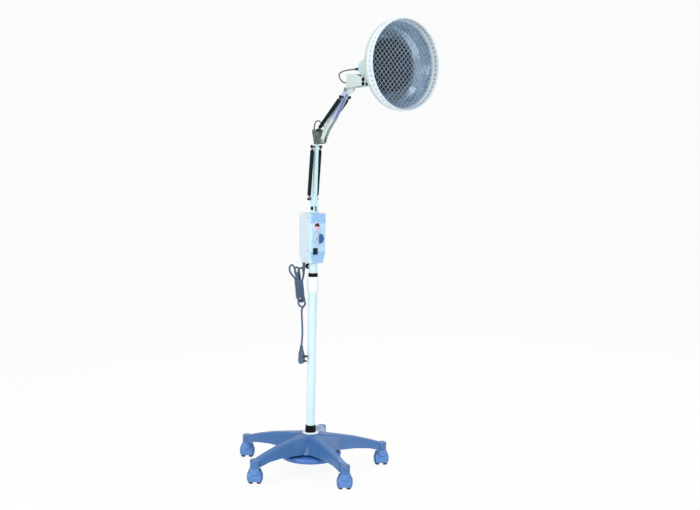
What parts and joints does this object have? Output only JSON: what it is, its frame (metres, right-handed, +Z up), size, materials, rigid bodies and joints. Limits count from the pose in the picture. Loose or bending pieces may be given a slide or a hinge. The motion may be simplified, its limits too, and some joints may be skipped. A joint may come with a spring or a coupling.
{
  "type": "infrared heat lamp on rolling stand",
  "caption": "Far-infrared mineral heat lamp: round shade with wire guard on two spring-balanced arms, timer box and telescopic pole over a five-star castor base",
  "frame": {"origin": "on the floor, on the axis of the pole", "axes": "+Z up along the pole, +X the way the arms and the lamp reach out, +Y to its left"},
  "size_m": [0.7484, 0.5615, 1.5599],
  "materials": {
    "castor_blue": "sky blue moulding",
    "tread_navy": "navy tread on blue wheel",
    "base_blue": "glossy mid blue moulding",
    "cast_weight": "mid blue enamelled casting",
    "bright_steel": "zinc plated",
    "black_rubber": "satin black",
    "white_paint": "glossy white powder coat",
    "white_moulding": "glossy white moulding",
    "white_nylon": "natural nylon",
    "black_plastic": "satin black",
    "chrome_tube": "polished chrome",
    "socket_white": "white painted casting",
    "grey_casting": "tumbled die casting",
    "box_side": "very pale blue powder coat",
    "box_front": "sky blue moulding",
    "brass_fitting": "dulled brass with dark sleeves",
    "lamp_red": "dark red lens",
    "knob_pale": "pale blue-white moulding",
    "cord_grey": "grey-blue cord sheath",
    "cable_grey": "grey-green cable sheath",
    "arm_pale": "pale blue-white powder coat",
    "arm_lavender": "pale lavender-grey powder coat",
    "spring_green": "black-green sleeve",
    "bracket_pale": "pale green-grey powder coat",
    "boot_grey": "dark green-grey boot",
    "shade_paint": "pale green-grey enamel",
    "blue_reflector": "polished, anodised steel blue",
    "black_enamel": "heat-proof matt black",
    "ceramic_former": "unglazed",
    "mineral_black": "black mineral coating",
    "guard_wire": "bright plated wire"
  },
  "bodies": {
    "stand": {"star_base": "base_blue", "ballast_disc": "cast_weight", "ballast_bolt": "bright_steel", "hub_trim_ring": "white_moulding", "pole_bush": "black_rubber", "outer_tube": "white_paint", "guide_liner": "white_nylon", "clamp_sleeve": "white_moulding"},
    "lock_ring": {"lock_ring": "black_plastic"},
    "mast": {"inner_tube": "chrome_tube", "mast_guide_plug": "white_nylon", "tube_socket": "socket_white", "box_rear_shell": "box_side", "box_front_cover": "box_front", "spine_bracket": "bright_steel", "timer_body": "white_nylon", "terminal_block": "white_nylon", "indicator_lens": "lamp_red", "rocker_frame": "black_plastic", "cord_gland": "cord_grey", "mains_cord": "cord_grey", "mains_cord_hank": "cord_grey", "plug_body": "cord_grey", "plug_blades": "brass_fitting"},
    "clamp_knob": {"clamp_knob": "black_plastic"},
    "timer_knob": {"timer_knob": "knob_pale"},
    "rocker": {"rocker": "black_plastic"},
    "turret": {"turret_fork": "arm_pale", "lower_pivot_bolt": "bright_steel"},
    "lower_arm": {"lower_arm_channel": "arm_pale", "lower_springs": "spring_green", "elbow_casting": "grey_casting", "elbow_cable": "cable_grey"},
    "upper_arm": {"upper_arm_channel": "arm_lavender", "upper_arm_bolts": "bright_steel", "upper_springs": "spring_green"},
    "wrist": {"wrist_block": "grey_casting", "head_bracket": "bracket_pale", "tilt_bolts": "bright_steel", "head_cable": "cable_grey"},
    "head": {"rear_boss": "bracket_pale", "cable_boot": "boot_grey", "shade_shell": "shade_paint", "reflector": "blue_reflector", "heater_drum": "black_enamel", "heater_former": "ceramic_former", "mineral_plate": "mineral_black", "collar": "white_moulding", "guard_ring": "guard_wire", "guard_mesh": "guard_wire"},
    "castor_1": {"castor_1_hood": "castor_blue"},
    "wheels_1": {"castor_1_wheels": "tread_navy"},
    "castor_2": {"castor_2_hood": "castor_blue"},
    "wheels_2": {"castor_2_wheels": "tread_navy"},
    "castor_3": {"castor_3_hood": "castor_blue"},
    "wheels_3": {"castor_3_wheels": "tread_navy"},
    "castor_4": {"castor_4_hood": "castor_blue"},
    "wheels_4": {"castor_4_wheels": "tread_navy"},
    "castor_5": {"castor_5_hood": "castor_blue"},
    "wheels_5": {"castor_5_wheels": "tread_navy"}
  },
  "joints": [
    {"name": "castor_1_swivel", "type": "hinge", "parent": "stand", "child": "castor_1", "pos_m": [0.26013, -0.05056, 0.0615], "axis": [0, 0, 1], "continuous": true},
    {"name": "castor_1_roll", "type": "hinge", "parent": "castor_1", "child": "wheels_1", "pos_m": [0.24668, -0.04017, 0.025], "axis": [-0.6115, -0.7912, 0], "continuous": true},
    {"name": "castor_2_swivel", "type": "hinge", "parent": "stand", "child": "castor_2", "pos_m": [0.12848, 0.23177, 0.0615], "axis": [0, 0, 1], "continuous": true},
    {"name": "castor_2_roll", "type": "hinge", "parent": "castor_2", "child": "wheels_2", "pos_m": [0.11502, 0.24217, 0.025], "axis": [-0.6115, -0.7912, 0], "continuous": true},
    {"name": "castor_3_swivel", "type": "hinge", "parent": "stand", "child": "castor_3", "pos_m": [-0.18073, 0.19381, 0.0615], "axis": [0, 0, 1], "continuous": true},
    {"name": "castor_3_roll", "type": "hinge", "parent": "castor_3", "child": "wheels_3", "pos_m": [-0.19418, 0.2042, 0.025], "axis": [-0.6115, -0.7912, 0], "continuous": true},
    {"name": "castor_4_swivel", "type": "hinge", "parent": "stand", "child": "castor_4", "pos_m": [-0.24017, -0.11199, 0.0615], "axis": [0, 0, 1], "continuous": true},
    {"name": "castor_4_roll", "type": "hinge", "parent": "castor_4", "child": "wheels_4", "pos_m": [-0.25362, -0.1016, 0.025], "axis": [-0.6115, -0.7912, 0], "continuous": true},
    {"name": "castor_5_swivel", "type": "hinge", "parent": "stand", "child": "castor_5", "pos_m": [0.03229, -0.26303, 0.0615], "axis": [0, 0, 1], "continuous": true},
    {"name": "castor_5_roll", "type": "hinge", "parent": "castor_5", "child": "wheels_5", "pos_m": [0.01885, -0.25263, 0.025], "axis": [-0.6115, -0.7912, 0], "continuous": true},
    {"name": "lock_ring_twist", "type": "hinge", "parent": "stand", "child": "lock_ring", "pos_m": [0, 0, 0.7012], "axis": [0, 0, 1], "range_deg": [0, 90]},
    {"name": "mast_slide", "type": "slide", "parent": "stand", "child": "mast", "axis": [0, 0, 1], "range_m": [0, 0.35]},
    {"name": "clamp_knob_turn", "type": "hinge", "parent": "mast", "child": "clamp_knob", "pos_m": [-0.028, 0, 0.7355], "axis": [1, 0, 0], "range_deg": [0, 720]},
    {"name": "timer_turn", "type": "hinge", "parent": "mast", "child": "timer_knob", "pos_m": [0.0275, 0, 0.8385], "axis": [1, 0, 0], "range_deg": [0, 300]},
    {"name": "rocker_tip", "type": "hinge", "parent": "mast", "child": "rocker", "pos_m": [0.023, -0.013, 0.7935], "axis": [0, 1, 0], "range_deg": [-12, 0]},
    {"name": "turret_swivel", "type": "hinge", "parent": "mast", "child": "turret", "pos_m": [0.001, 0, 0.9265], "axis": [0, 0, 1], "range_deg": [-170, 170]},
    {"name": "lower_arm_tilt", "type": "hinge", "parent": "turret", "child": "lower_arm", "pos_m": [0.001, 0, 0.9443], "axis": [0, 1, 0], "range_deg": [-20, 30], "deforming": ["lower_springs"]},
    {"name": "elbow_tilt", "type": "hinge", "parent": "lower_arm", "child": "upper_arm", "pos_m": [0.04629, 0, 1.1802], "axis": [0, 1, 0], "range_deg": [-18, 45], "deforming": ["upper_springs", "elbow_cable"]},
    {"name": "wrist_tilt", "type": "hinge", "parent": "upper_arm", "child": "wrist", "pos_m": [0.17209, 0, 1.35083], "axis": [0, 1, 0], "range_deg": [-40, 30]},
    {"name": "head_tilt", "type": "hinge", "parent": "wrist", "child": "head", "pos_m": [0.27259, 0, 1.37853], "axis": [0, 1, 0], "range_deg": [-3, 60], "deforming": ["head_cable"]}
  ]
}
